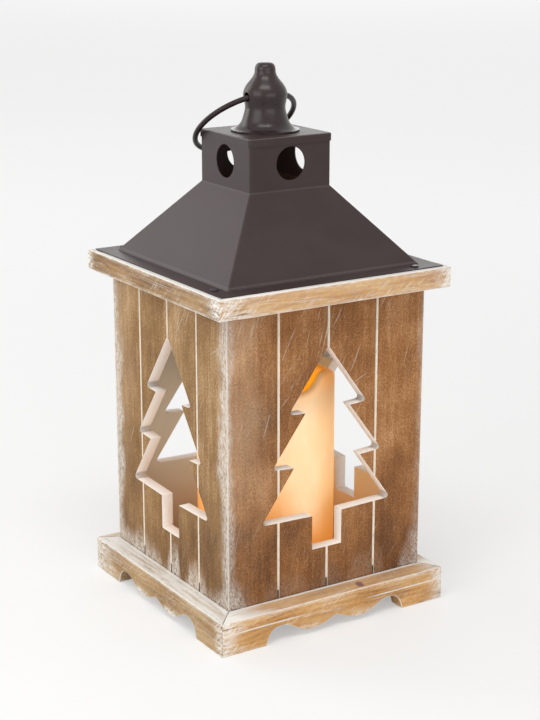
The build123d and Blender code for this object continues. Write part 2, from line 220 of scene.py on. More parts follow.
class Face:
    # one side's directions, and the noises that the layers of its finish share
    def __init__(self, finish, side, seed, grains, strokes):
        along, outward = sideAxes[side]
        self.finish, self.seed = finish, seed
        self.u, self.d, self.z = finish.axis(along), finish.axis(outward), finish.axis((0, 0, 1))
        self.turn = finish.facing(outward)
        for name, look in grains.items():
            setattr(self, name, self.grain(**look))
        for name, look in strokes.items():
            setattr(self, name, self.stroke(**look))

    def grain(self, scale, shift, **texture):
        # scale along, outward and up; shift of the seed along and up
        along = self.u * scale[0] + self.seed * shift[0]
        up = self.z * scale[2] + self.seed * shift[1]
        return self.finish.noise(self.finish.point(along, self.d * scale[1], up), **texture)

    def stroke(self, lean, scale, shift, **texture):
        # the same along a slant: scale across it, along it and outward
        across = (self.u + self.z * lean) * scale[0] + self.seed * shift[0]
        forward = (self.z - self.u * lean) * scale[1] + self.seed * shift[1]
        return self.finish.noise(self.finish.point(across, forward, self.d * scale[2]), **texture)


def scratchMask(face, start, end, width):
    # thin straight mark between two points of a face
    length = math.dist(start, end)
    du, dz = (end[0] - start[0]) / length, (end[1] - start[1]) / length
    along, up = face.u - start[0], face.z - start[1]
    forward, across = along * du + up * dz, abs(along * dz - up * du)
    inside = forward.rise(0, 0.25 * length) * forward.rise(length, 0.75 * length)
    return across.rise(width, 0.3 * width) * inside


wallLook = {  # lengths in millimetres
    "wash": (0.70, 0.65, 0.59, 1),
    "rosyWash": (0.60, 0.42, 0.27, 1),
    "groovePaint": (0.80, 0.73, 0.62, 1),
    "cutPaint": (0.86, 0.81, 0.76, 1),
    "cutGrey": (0.33, 0.29, 0.26, 1),
    "inside": (0.575, 0.635, 0.68, 1),
    "insideCandleGlow": (0.82, 0.67, 0.43, 1),
    "gapShade": (0.045, 0.028, 0.018, 1),
    "sheen": 0.3,
    "seedStep": 37.0,
    "deepStain": (120.0, 20.0),  # heights between which the stain deepens
    "rubbedTop": (130.0, 180.0),
    "hatches": ((0.5, 0.05), (0.25, 0.035)),  # lean and stretch of the rubbing marks
    "tongues": {"scale": (0.055, 0.05, 0.0), "shift": (3, 1), "detail": 2},
    "tongueReach": 27.0,
    "cornerReach": 34.0,
    "hazeReach": 40.0,
    "hazeFade": (40.0, 120.0),
    "groove": 31.3,  # from the middle groove to the outer two
    "grooveHalf": 0.42,
    "slotHeight": 4.6,
    "board": 7.0,
    "scratchWidth": 0.34,
    "tips": ((23.6, 123.5), (33.8, 94.5), (40.2, 65.0)),  # of the tree, where its cut edges get painted shade
}
wallGrains = {
    "streak": {"scale": (0.5, 0.5, 0.03), "shift": (1, 0), "detail": 4},
    "speckle": {"scale": (1.15, 1.15, 0.9), "shift": (1, 0), "detail": 3, "rough": 0.75},
    "cloud": {"scale": (0.035, 0.035, 0.028), "shift": (1, 0), "detail": 4, "rough": 0.6},
    "patch": {"scale": (0.06, 0.06, 0.035), "shift": (1, 1), "detail": 4},
    "fine": {"scale": (0.8, 0.8, 0.22), "shift": (0, 1), "detail": 5, "rough": 0.75},
    "smudge": {"scale": (0.5, 0.5, 0.5), "shift": (0, 1), "detail": 3},
}
wallStrokes = {
    "strokes": {"lean": 0.4, "scale": (1.3, 0.45, 0.1), "shift": (1, 0), "detail": 5, "rough": 0.8},
}
redStain = [
    (0.18, (0.110, 0.040, 0.012, 1)),
    (0.5, (0.290, 0.120, 0.036, 1)),
    (0.85, (0.56, 0.31, 0.145, 1)),
]
goldStain = [
    (0.18, (0.130, 0.060, 0.018, 1)),
    (0.5, (0.275, 0.149, 0.052, 1)),
    (0.85, (0.54, 0.36, 0.19, 1)),
]
wallSides = {  # white of the two edges, haze, white of the foot, edge width, streaks, share of painted candle light on the inside
    "front": {
        "stain": redStain, "edges": (0.55, 0.3), "haze": 0.42, "foot": 0.12,
        "reach": 3.8, "streaks": 0.35, "candleGlow": 0.4,
    },
    "left": {
        "stain": goldStain, "edges": (1.0, 1.0), "haze": 0.25, "foot": 0.95,
        "reach": 8.0, "streaks": 0.45, "candleGlow": 0.4,
    },
    "right": {
        "stain": redStain, "edges": (0.5, 0.7), "haze": 0.3, "foot": 0.5,
        "reach": 6.0, "streaks": 0.3, "candleGlow": 0.85,
    },
    "back": {
        "stain": goldStain, "edges": (0.7, 0.6), "haze": 0.25, "foot": 0.6,
        "reach": 6.0, "streaks": 0.35, "candleGlow": 0.1,
    },
}
wallScratches = {  # start and end of each pale scratch, along the wall and up
    "front": [
        ((-20, 172), (-30, 152)), ((21, 156), (14, 140)), ((26, 139), (17, 135)), ((-24, 134), (-31, 127)),
        ((-36, 128), (-41, 112)), ((9, 178), (2, 166)), ((34, 50), (30, 44)),
    ],
    "left": [((44, 157), (56, 164)), ((56, 164), (61, 165)), ((-40, 97), (-46, 84)), ((20, 176), (12, 164))],
    "right": [((-20, 150), (-32, 166)), ((38, 60), (30, 48)), ((44, 120), (36, 132))],
    "back": [((30, 152), (42, 165)), ((-40, 60), (-30, 49)), ((-46, 130), (-38, 141))],
}


def wallStain(face, own):
    # streaked and speckled, deeper towards the foot
    streaks = (face.streak - 0.5) * own["streaks"]
    tone = streaks + (face.speckle - 0.5) * 0.95 + (face.cloud - 0.5) * 0.9 + 0.5
    return face.finish.ramp(tone - face.z.rise(*wallLook["deepStain"]) * 0.16, own["stain"])


def rubbingMarks(face):
    # fine slanting marks, thickest near the top
    hatches = []
    for lean, stretch in wallLook["hatches"]:
        upward = math.sqrt(1.0 - lean * lean)
        forward, across = face.u * lean + face.z * upward, face.u * upward - face.z * lean
        forward, across = forward * stretch + face.seed, across * 1.3 + face.seed * lean
        place = face.finish.point(forward, across, face.d * 0.1)
        hatches.append(face.finish.noise(place, detail=3, rough=0.6).rise(0.62, 0.74))
    amount = 0.25 + face.z.rise(*wallLook["rubbedTop"]) * 0.5
    return hatches[0].most(hatches[1]) * face.patch.rise(0.36, 0.58) * amount


def edgeWash(face, own):
    # white rubbed over the two upright edges
    reach = own["reach"]
    rubbing = (face.fine * 0.5 + face.strokes * 0.5).rise(0.38, 0.6)
    edges = []
    for sign, amount in zip((1.0, -1.0), own["edges"]):
        gap = wallHalf + face.u * sign
        band = (gap - (face.patch - 0.2) * reach * 2.6).rise(reach * 0.5, -reach * 0.5)
        edges.append((band * rubbing + gap.rise(1.0, 0.35) * 0.7) * amount)
    return edges[0].most(edges[1])


def footWash(face, lift, own):
    # white drawn up from the ledge in tongues
    tongue = face.grain(**wallLook["tongues"]).rise(0.3, 0.55) * face.patch * wallLook["tongueReach"]
    return (lift - tongue).rise(3.0, -11.0) * face.strokes.rise(0.36, 0.62) * own["foot"]


def cornerWash(face, lift):
    # white in the two lower corners
    inset = abs(abs(face.u) - wallHalf)
    spread = (lift + inset * 1.8 - face.patch * wallLook["cornerReach"]).rise(12.0, -8.0)
    return spread * face.strokes.rise(0.34, 0.62) * 0.85


def rosyHaze(face, own):
    # thin wash over the left part of the wall, fading downwards
    band = (wallHalf + face.u - face.patch * wallLook["hazeReach"]).rise(14.0, -16.0)
    fade = 0.12 + face.z.rise(*wallLook["hazeFade"]) * 0.88
    return band * (face.streak * 0.5 + face.speckle * 1.2) * own["haze"] * fade


def cutTone(face):
    # painted cut edges, with smudges of dirt, and painted shade at the tips of the tree and deeper in
    look = wallLook
    dirtAndShade = face.smudge.rise(0.6, 0.85) * 0.35 + (wallHalf - face.d).rise(1.2, look["board"]) * 0.12
    for tipAlong, tipUp in look["tips"]:
        spot = ((abs(face.u) - tipAlong) ** 2.0 + (face.z - tipUp) ** 2.0) ** 0.5
        dirtAndShade = dirtAndShade.most(spot.rise(3.4, 1.2) * 0.6)
    return face.finish.blend(look["cutPaint"], look["cutGrey"], dirtAndShade)


def wallFinish(side):
    look, own = wallLook, wallSides[side]
    finish = Finish("stainedBoard-" + side, **{"Specular IOR Level": look["sheen"]})
    face = Face(finish, side, look["seedStep"] * list(sideAxes).index(side), wallGrains, wallStrokes)
    lift = face.z - ledgeHeight
    rubbed, foot = rubbingMarks(face), footWash(face, lift, own)
    grit = face.speckle.rise(0.6, 0.76) * (0.22 + face.patch.rise(0.4, 0.6) * 0.2)
    rosy = (foot * 0.4 + rubbed + grit + rosyHaze(face, own)).least(0.85)
    white = edgeWash(face, own).most(cornerWash(face, lift)).most(foot).most(rubbed * 0.6)
    for start, end in wallScratches[side]:
        scratch = scratchMask(face, start, end, look["scratchWidth"])
        white = white.most(scratch * face.fine.rise(0.3, 0.6) * 0.5)
    washed = finish.blend(wallStain(face, own), look["rosyWash"], rosy)
    washed = finish.blend(washed, look["wash"], white.least(0.9))

    # outer face, with cream beside the three grooves and a line of painted shade in the seam over the ledge
    offset = abs(face.u).least(abs(abs(face.u) - look["groove"]))
    beside = offset.rise(look["grooveHalf"] + 0.4, look["grooveHalf"] - 0.1)
    front = finish.blend(washed, look["groovePaint"], beside * (0.45 + face.fine * 0.9).least(0.95))
    front = finish.blend(front, look["gapShade"], lift.rise(0.9, 0.3) * face.fine.rise(0.45, 0.6) * 0.6)
    colour = finish.blend(cutTone(face), front, face.turn.rise(0.55, 0.8))

    # worn cream in the grooves, each ending in a slot of painted shade
    outside = face.turn.rise(0.2, 0.4)
    worn = (face.fine * 0.6 + face.speckle * 0.4).rise(0.48, 0.7) * 0.6
    filling = finish.blend(look["groovePaint"], washed, worn)
    colour = finish.blend(colour, filling, offset.rise(0.8, 0.6) * outside)
    slot = offset.rise(0.75, 0.35) * lift.rise(look["slotHeight"] + 1.0, look["slotHeight"] - 0.5)
    colour = finish.blend(colour, look["gapShade"], slot * outside)

    # plain inner face, with the candle's light painted on as a warmer tone
    candleGlow = (face.cloud - 0.1).least(0.4) * 2.5 * own["candleGlow"]
    inner = finish.blend(look["inside"], look["insideCandleGlow"], candleGlow)
    colour = finish.blend(colour, inner, face.turn.rise(-0.7, -0.9))
    finish.bump(face.streak * 0.3 + face.speckle * 0.6 + white * 0.5, 0.3, 0.0004)
    return finish.paint(Base_Color=colour, Roughness=(0.62 + face.speckle * 0.2).least(0.9))


pineLook = {  # lengths in millimetres
    "grain": [
        (0.15, (0.68, 0.44, 0.20, 1)),
        (0.5, (0.575, 0.305, 0.100, 1)),
        (0.9, (0.30, 0.130, 0.040, 1)),
    ],
    "shadedGrain": [
        (0.15, (0.46, 0.325, 0.18, 1)),
        (0.5, (0.335, 0.21, 0.095, 1)),
        (0.9, (0.15, 0.08, 0.035, 1)),
    ],
    "film": (0.50, 0.34, 0.24, 1),
    "wash": (0.85, 0.83, 0.785, 1),
    "crack": (0.055, 0.035, 0.022, 1),
    "knot": (0.20, 0.050, 0.030, 1),
    "sheen": 0.3,
    "seedStep": 23.0,
    "core": (30.0, 40.0),  # heart of the log below the strip and out from the middle
    "ringTurn": 2.6,  # radians per millimetre
    "filmShare": {"rail": 0.55, "plinth": 0.05},
    "corner": (0.2, -0.2),  # how far the wash of the two ends runs in over the ledge
    "stripe": {"scale": (0.025, 0.55, 0.0), "shift": (1, 1), "detail": 4},
    "slopeDrop": 1.6,  # of the plinth's sloping top
    "line": 6.4,  # scored line below the plinth's top
    "belly": (17.0, 6.5),  # of the scalloped edge: from the middle, and the height of its wash
    "crackReach": 24.0,
}
pineGrains = {
    "drift": {"scale": (0.012, 0.04, 0.04), "shift": (1, 1), "detail": 2},
    "fibre": {"scale": (0.045, 1.5, 1.5), "shift": (1, 0), "detail": 4, "rough": 0.65},
    "broad": {"scale": (0.03, 0.12, 0.12), "shift": (1, 0), "detail": 3},
    "mottle": {"scale": (0.5, 0.7, 0.7), "shift": (1, 0), "detail": 5, "rough": 0.75},
    "fine": {"scale": (0.22, 1.0, 1.0), "shift": (1, 1), "detail": 5, "rough": 0.7},
    "patch": {"scale": (0.035, 0.1, 0.16), "shift": (1, 0), "detail": 3},
    "split": {"scale": (0.03, 0.8, 0.8), "shift": (1, 0), "detail": 3, "rough": 0.6},
}
pineStrokes = {
    "slant": {"lean": -1.2, "scale": (1.0, 0.07, 0.1), "shift": (0, 1), "detail": 4},
    "sweep": {"lean": -0.8, "scale": (0.8, 0.12, 0.3), "shift": (0, 1), "detail": 4, "rough": 0.7},
}
pineSides = {  # wash of each part, share of painted shade, then how far the wash of a strip's ends reaches, and its tone
    "front": {
        "top": 0.16, "face": 0.46, "ends": (0.95, 0.9), "line": 0.85, "belly": 0.5, "shadeShare": 0.0,
        "rail": {"reach": (27, 14), "tone": 0.48}, "plinth": {"reach": (19, 15), "tone": 0.46},
    },
    "left": {
        "top": 1.0, "face": 0.36, "ends": (0.9, 0.9), "line": 0.0, "belly": 0.9, "shadeShare": 0.9,
        # the left rail's darker tone is painted shade under the roof's flange
        "rail": {"reach": (9, 17), "tone": 0.64}, "plinth": {"reach": (30, 13), "tone": 0.42},
    },
    "right": {
        "top": 0.5, "face": 0.5, "ends": (0.9, 0.8), "line": 0.6, "belly": 0.6, "shadeShare": 0.15,
        "rail": {"reach": (14, 18), "tone": 0.5}, "plinth": {"reach": (16, 22), "tone": 0.46},
    },
    "back": {
        "top": 0.6, "face": 0.5, "ends": (0.8, 0.9), "line": 0.5, "belly": 0.6, "shadeShare": 0.3,
        "rail": {"reach": (18, 12), "tone": 0.5}, "plinth": {"reach": (22, 14), "tone": 0.46},
    },
}
pineKnots = {"front": [(18.0, 68.6, 2.6)]}  # on the plinth's ledge: along, out from the middle, size


def pineWood(face, side, kind, low):
    # year rings about a heart below the strip, fibres and mottle
    look, own, finish = pineLook, pineSides[side], face.finish
    below, out = look["core"]
    core = (face.z - low + below + face.drift * 9.0) ** 2.0 + (face.d - out + face.drift * 6.0) ** 2.0
    rings = ((core ** 0.5) * look["ringTurn"]).wave() * 0.5 + 0.5
    tone = (rings - 0.5) * 0.16 + (face.fibre - 0.5) * 0.6
    tone = tone + (face.broad - 0.5) * 1.2 + (face.mottle - 0.5) * 0.7 + own[kind]["tone"]
    # a darker, greyer copy of the grain is painted shade, strongest on the left
    wood = finish.blend(finish.ramp(tone, look["grain"]), finish.ramp(tone, look["shadedGrain"]), own["shadeShare"])
    film = look["filmShare"][kind] * (1.0 - own["shadeShare"])
    wood = finish.blend(wood, look["film"], face.mottle.rise(0.35, 0.65) * film)
    knots = pineKnots.get(side, []) if kind == "plinth" else []
    for knotAlong, knotOut, size in knots:
        reach = ((face.u - knotAlong) ** 2.0 * 1.4 + (face.d - knotOut) ** 2.0) ** 0.5
        wood = finish.blend(wood, look["knot"], (reach + face.mottle * 4.0).rise(size + 2.6, size + 1.4))
    return wood


def stripWash(face, flat, brushed, own, kind, low, high):
    # white along the edges, over the mitred ends, in the fibres and on the eased arrises
    rim = (face.z - low).least(high - face.z)
    wash = (rim - face.patch * 3.0).rise(0.9, -1.5) * (1.0 - flat) * 0.6 * face.fine.rise(0.36, 0.62)
    ends = zip((1.0, -1.0), own["ends"], own[kind]["reach"], pineLook["corner"])
    for sign, amount, reach, corner in ends:
        gap = (outerHalf + face.u * sign) * (1.0 - flat * 0.5) / reach
        band = (gap - face.patch * 1.1 - flat * corner).rise(0.4, -0.55)
        wash = wash.most(band * amount * brushed.most(flat))
    fibres = face.fibre.rise(0.54, 0.64) * face.patch.rise(0.38, 0.56)
    slants = face.slant.rise(0.54, 0.7) * face.patch.rise(0.36, 0.6)
    eased = face.turn.rise(0.98, 0.85) * face.turn.rise(0.1, 0.3) * face.fine.rise(0.25, 0.5) * 0.75
    return wash.most(fibres * own["face"]).most(slants * own["face"]).most(eased)


def plinthWash(face, flat, brushed, own, high):
    # white against the wall and over the ledge, in the scored line and on the bellies of the scalloped edge
    look = pineLook
    ledge = face.d - wallHalf
    inner = (ledge - face.fine * 1.6).rise(1.5, 0.5) * flat
    stripe = face.grain(**look["stripe"]).rise(0.42, 0.6)
    worn = stripe * ledge.rise(1.5, 3.0) * ledge.rise(9.5, 7.5) * 0.5
    top = flat * own["top"] * (1.0 - worn) * face.fine.rise(0.2, 0.5)
    line = abs(high - face.z - look["line"] - face.drift * 0.8).rise(0.6, 0.2)
    line = line * abs(face.u).rise(16.0, 32.0) * (0.4 + face.fine) * own["line"]
    place, height = look["belly"]
    belly = abs(abs(face.u) - place).rise(10.0, 4.0) * (face.z - face.mottle * 4.0).rise(height, 2.0)
    belly = belly * (1.0 - flat) * brushed * own["belly"]
    return inner.most(top).most(line).most(belly)


def pineFinish(side, kind, low, high):
    look, own = pineLook, pineSides[side]
    finish = Finish("washedPine-" + kind + "-" + side, **{"Specular IOR Level": look["sheen"]})
    face = Face(finish, side, look["seedStep"] * list(sideAxes).index(side) + low, pineGrains, pineStrokes)
    flat = finish.facing((0, 0, 1)).rise(0.5, 0.8)
    brushed = (face.fine * 0.5 + face.sweep * 0.5).rise(0.4, 0.56)
    wash = stripWash(face, flat, brushed, own, kind, low, high)

    # open grain near the mitred ends
    gap = outerHalf - abs(face.u)
    crack = face.split.rise(0.6, 0.635) * (gap - face.patch * look["crackReach"]).rise(6.0, -4.0)
    dark = crack * 0.7
    if kind == "rail":
        wash = wash.most(flat * (0.7 + face.fine * 0.5))
    else:
        wash = wash.most(plinthWash(face, flat, brushed, own, high))
        dark = dark.most(abs(abs(face.u) - face.d).rise(0.5, 0.2) * flat * 0.8)  # mitre across the ledge
    colour = finish.blend(pineWood(face, side, kind, low), look["wash"], wash.least(0.93))
    colour = finish.blend(colour, look["crack"], dark)
    finish.bump(face.fibre * 0.5 + wash * 0.3 - crack, 0.4, 0.0005)
    return finish.paint(Base_Color=colour, Roughness=(0.55 + face.fine * 0.3).least(0.9))


metalLook = {
    "paint": (0.0345, 0.020, 0.020, 1),
    "lighter": (0.042, 0.026, 0.0255, 1),
    "deep": (0.017, 0.008, 0.008, 1),
    "fold": (0.13, 0.11, 0.105, 1),
    "flangeFold": 1.7,  # above the skirt's underside, in millimetres
}
metalPieces = {  # roughness, shine and depth of the paint
    "sheet": {"paint": (0.36, 0.28, 0.05), "nodes": ("roof_skirt", "roof_collar", "roof_cap")},
    "spun": {"paint": (0.19, 0.34, 0.7), "nodes": ("finial",)},
    "wire": {"paint": (0.25, 0.24, 0.95), "nodes": ("hanging_ring", "roof_nails")},
}


def metalFinish(name, roughness, shine, depth):
    look = metalLook
    finish = Finish("darkMetal-" + name, **{"Specular IOR Level": shine})
    x, y, z = finish.axis((1, 0, 0)), finish.axis((0, 1, 0)), finish.axis((0, 0, 1))
    cloud = finish.noise(finish.point(x * 0.03, y * 0.03, z * 0.05), detail=4)
    grain = finish.noise(finish.point(x * 0.9, y * 0.9, z * 0.9), detail=3)
    colour = finish.blend(look["paint"], look["lighter"], cloud.rise(0.35, 0.7))
    colour = finish.blend(colour, look["deep"], depth)

    # paler lines along the two folds of the skirt and round the cap's top
    skirt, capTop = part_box("roof_skirt"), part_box("roof_cap")[1].z / mm
    flange = abs(z - (skirt[0].z / mm + look["flangeFold"])).rise(0.8, 0.1)
    neck = abs(z - skirt[1].z / mm).rise(0.7, 0.1)
    level = finish.facing((0, 0, 1))
    lip = level.rise(0.2, 0.5) * level.rise(0.97, 0.8) * abs(z - capTop).rise(1.0, 0.6)
    worn = (flange * 0.3).most(neck * 0.25).most(lip * 0.6) * (0.5 + grain)
    colour = finish.blend(colour, look["fold"], worn)
    finish.bump(grain, 0.03, 0.0003)
    return finish.paint(Base_Color=colour, Roughness=roughness + cloud * 0.12 + grain * 0.06)


waxLook = {  # lengths in millimetres
    "cup": 33.0,
    "cupFloor": 100.0,
    "cupEase": ((0.0, 6.0), (1.8, 1.8), (6.0, 0.0)),  # in from the cup's wall, then up from its floor
    "hollow": 34.0,
    "hollowTop": 40.6,
    "bore": 6.2,
    "footEase": 0.8,
    "lip": 2.6,
    "rim": [  # degrees round the candle, then height
        (-180, 132.6), (-160, 131.0), (-142, 127.0), (-125, 124.5), (-105, 123.5), (-92, 124.0),
        (-84, 124.8), (-80, 126.0), (-74, 128.0), (-70, 130.5), (-66, 132.8), (-60, 133.4), (-50, 132.4),
        (-38, 129.6), (-24, 127.6), (-10, 126.6), (5, 126.2), (20, 125.8), (40, 126.6), (60, 131.0),
        (80, 133.4), (105, 132.6), (122, 126.5), (138, 123.6), (155, 127.5), (168, 131.8), (180, 132.6),
    ],
    "turns": 120,
    "wallSteps": 8,
    "lipSteps": 8,
    "creaseAngle": 50.0,
    "wax": (0.84, 0.62, 0.37, 1),
    "paleWax": (0.90, 0.73, 0.50, 1),
    "glowWarmedWax": (0.85, 0.40, 0.06, 1),
    "glowBody": (0.93, 0.53, 0.26, 1),
    "glowSide": (0.95, 0.44, 0.085, 1),
    "glowFoot": (0.84, 0.23, 0.008, 1),
    "glowCup": (1.0, 0.40, 0.0, 1),
    "shoulder": (0.74, 0.24, 0.015, 1),
    "tan": (0.38, 0.22, 0.09, 1),
    "unlit": (0.03, 0.015, 0.005, 1),
    "strength": 0.47,
    "subsurface": 0.2,
    "subsurfaceRadius": (0.010, 0.005, 0.0025),
    "thinSide": (0.92, -0.39, 0),  # faces the thinner wax, which glows deeper
    "deepSide": (-0.95, -0.31, 0),  # the deep foot glow climbs higher here
    "cupShadeSide": (0.844, -0.536, 0),  # part of the cup away from the flame, given painted shade
}


def waxFinish():
    look = waxLook
    # the wax's emission is painted glow, standing in for the LED's light shining through it
    plain = {"Emission Strength": look["strength"], "Subsurface Weight": look["subsurface"]}
    finish = Finish("meltedWax", **plain)
    finish.paint(Subsurface_Radius=look["subsurfaceRadius"])
    x, y, z = finish.axis((1, 0, 0)), finish.axis((0, 1, 0)), finish.axis((0, 0, 1))
    cloud = finish.noise(finish.point(x * 0.05, y * 0.05, z * 0.03), detail=3)
    side = finish.facing(look["thinSide"])
    glow = finish.blend(look["glowBody"], look["glowSide"], side.rise(0.5, 1.0) * 0.9)
    glow = finish.blend(glow, look["tan"], (z + cloud * 10.0).rise(108.0, 130.0) * 0.85)
    low = z + cloud * 14.0 - finish.facing(look["deepSide"]).rise(0.1, 0.9) * 20.0
    glow = finish.blend(glow, look["glowFoot"], low.rise(76.0, 32.0) * 0.95)
    shoulder = (z + cloud * 4.0).rise(119.0, 129.0) * side.rise(-0.35, 0.35)
    glow = finish.blend(glow, look["shoulder"], shoulder)

    # the cup's painted glow is amber, with painted shade browner on the side away from the flame; the
    # underside's glow is painted dark
    inCup = ((x ** 2.0 + y ** 2.0) ** 0.5).rise(36.8, 35.2) * z.rise(97.0, 100.0)
    cupShade = finish.axis(look["cupShadeSide"]).rise(27.0, 33.0)
    cupGlow = finish.blend(look["glowCup"], look["shoulder"], cupShade)
    glow = finish.blend(glow, cupGlow, inCup)
    glow = finish.blend(glow, look["unlit"], finish.facing((0, 0, -1)).rise(0.3, 0.7))
    finish.bump(cloud, 0.12, 0.001)
    colour = finish.blend(look["wax"], look["paleWax"], cloud.rise(0.35, 0.7))
    # the base colour is painted warmer in the cup and at the foot, where the glow is
    colour = finish.blend(colour, look["glowWarmedWax"], inCup.most(low.rise(78.0, 34.0)) * 0.75)
    return finish.paint(Base_Color=colour, Roughness=0.42 + cloud * 0.15, Emission_Color=glow)


def rimHeight(angle):
    # height of the melted rim at this angle
    turn = math.degrees(angle) - (360.0 if angle > math.pi else 0.0)
    rim = waxLook["rim"]
    for (start, low), (end, high) in zip(rim, rim[1:]):
        if start <= turn <= end:
            share = (turn - start) / (end - start)
            return low + (high - low) * share * share * (3.0 - 2.0 * share)
    return rim[0][1]


def waxProfile(radius, foot, top):
    # radius and height of one section, from the foot over the lip into the cup and the hollow
    look = waxLook
    cup, lip, ease = look["cup"], look["lip"], look["footEase"]
    rise = (top - lip - foot) / look["wallSteps"]
    profile = [(look["hollow"], foot), (radius - ease, foot), (radius, foot + ease)]
    profile += [(radius, foot + rise * step) for step in range(1, look["wallSteps"] + 1)]
    middle, half = (radius + cup) / 2.0, (radius - cup) / 2.0
    for step in range(1, look["lipSteps"] + 1):
        bend = math.pi * step / look["lipSteps"]
        profile.append((middle + half * math.cos(bend), top - lip + lip * math.sin(bend)))
    profile += [(cup - inward, look["cupFloor"] + upward) for inward, upward in look["cupEase"]]
    profile += [(look["bore"], look["cupFloor"]), (look["bore"], look["hollowTop"])]
    return profile + [(look["hollow"], look["hollowTop"])]


def buildWax():
    box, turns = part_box("candle_wax"), waxLook["turns"]
    radius, foot = box[1].x / mm, box[0].z / mm
    angles = [2.0 * math.pi * turn / turns for turn in range(turns)]
    sections = [waxProfile(radius, foot, rimHeight(angle)) for angle in angles]
    rings = len(sections[0])
    points, faces = [], []
    for angle, section in zip(angles, sections):
        points += [(r * mm * math.cos(angle), r * mm * math.sin(angle), up * mm) for r, up in section]
    for turn in range(turns):
        here, there = turn * rings, (turn + 1) % turns * rings
        for step in range(rings):
            following = (step + 1) % rings
            faces.append((here + step, there + step, there + following, here + following))
    mesh = bpy.data.meshes.new("candleWax")
    mesh.from_pydata(points, [], faces)
    mesh.shade_smooth()
    mesh.set_sharp_from_angle(angle=math.radians(waxLook["creaseAngle"]))
    piece = bpy.data.objects.new("candleWax", mesh)
    bpy.context.scene.collection.objects.link(piece)
    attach(piece, frame["nodes"]["candle_wax"]["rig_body"])
    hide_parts("candle_wax")
    return piece


plainPieces = {  # two tones of a faint mottle, roughness
    "bareBoard": {
        "tones": ((0.41, 0.38, 0.31, 1), (0.50, 0.47, 0.39, 1)), "roughness": 0.7, "scale": 0.08,
        "nodes": ("floor_board",),
    },
    "amberFlame": {
        "tones": ((1.0, 0.62, 0.2, 1), (1.0, 0.75, 0.35, 1)), "roughness": 0.2,
        "glow": (1.0, 0.62, 0.18, 1), "glowStrength": 3.0,
        "nodes": ("candle_flame", "led"),
    },
    "ivoryMoulding": {
        "tones": ((0.72, 0.68, 0.60, 1), (0.78, 0.74, 0.66, 1)), "roughness": 0.45,
        "nodes": ("battery_box", "battery_lid", "led_post"),
    },
    "platedContact": {
        "tones": ((0.62, 0.61, 0.58, 1), (0.72, 0.71, 0.68, 1)), "roughness": 0.3, "scale": 0.4,
        "metallic": 1.0,
        "nodes": ("contact_bridge", "contact_minus", "contact_plus", "board_screws", "led_leads"),
    },
    "cellWrap": {
        "tones": ((0.30, 0.32, 0.35, 1), (0.36, 0.38, 0.41, 1)), "roughness": 0.3,
        "nodes": ("battery_left", "battery_right"),
    },
    "boardLacquer": {
        "tones": ((0.02, 0.14, 0.05, 1), (0.03, 0.18, 0.07, 1)), "roughness": 0.35,
        "nodes": ("circuit_board",),
    },
    "switchMoulding": {
        "tones": ((0.02, 0.02, 0.022, 1), (0.035, 0.035, 0.037, 1)), "roughness": 0.5,
        "nodes": ("switch_body", "switch_knob"),
    },
    "wireSleeve": {
        "tones": ((0.42, 0.03, 0.025, 1), (0.5, 0.05, 0.04, 1)), "roughness": 0.5,
        "nodes": ("switch_wires",),
    },
}


def plainFinish(name, tones, roughness, scale=0.2, metallic=0.0, glow=None, glowStrength=0.0):
    # a moulded, plated or lacquered surface
    finish = Finish(name, Metallic=metallic)
    x, y, z = finish.axis((1, 0, 0)), finish.axis((0, 1, 0)), finish.axis((0, 0, 1))
    cloud = finish.noise(finish.point(x, y, z), scale=scale, detail=4)
    grain = finish.noise(finish.point(x, y, z), scale=scale * 12.0, detail=2)
    finish.bump(grain, 0.1, 0.0002)
    if glow:
        finish.paint(Emission_Color=glow, Emission_Strength=glowStrength)
    colour = finish.blend(*tones, cloud.rise(0.3, 0.7))
    return finish.paint(Base_Color=colour, Roughness=roughness + grain * 0.12)


arrisLook = {  # ease of each strip's arrises in millimetres, angles in degrees
    "wall": 0.45,
    "plinth": 0.5,
    "rail": 0.5,
    "segments": 2,
    "sharpAngle": 28.0,
    "flatAngle": 0.6,
    "creaseAngle": 35.0,
    "weld": 0.002,
}


def roundedCopy(node, ease):
    # the solid's own shape with its arrises eased
    look, source = arrisLook, frame["nodes"][node]
    mesh = bpy.data.meshes.new(node + "-dressed")
    shape = bmesh.new()
    shape.from_mesh(source.data)
    bmesh.ops.remove_doubles(shape, verts=shape.verts, dist=look["weld"] * mm)
    flatAngle, sharpAngle = math.radians(look["flatAngle"]), math.radians(look["sharpAngle"])
    bmesh.ops.dissolve_limit(shape, angle_limit=flatAngle, verts=shape.verts, edges=shape.edges)
    arrises = [e for e in shape.edges if e.is_manifold and e.calc_face_angle() > sharpAngle]
    bmesh.ops.bevel(
        shape, geom=arrises, offset=ease * mm, offset_type="OFFSET", segments=look["segments"], profile=0.5,
        affect="EDGES", clamp_overlap=True,
    )
    bmesh.ops.triangulate(shape, faces=[f for f in shape.faces if len(f.verts) > 4])
    shape.to_mesh(mesh)
    shape.free()
    mesh.shade_smooth()
    mesh.set_sharp_from_angle(angle=math.radians(look["creaseAngle"]))
    piece = bpy.data.objects.new(node + "-dressed", mesh)
    bpy.context.scene.collection.objects.link(piece)
    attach(piece, source["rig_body"])
    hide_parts(node)
    return piece


def dress(piece, material):
    piece.data.materials.clear()
    piece.data.materials.append(material)


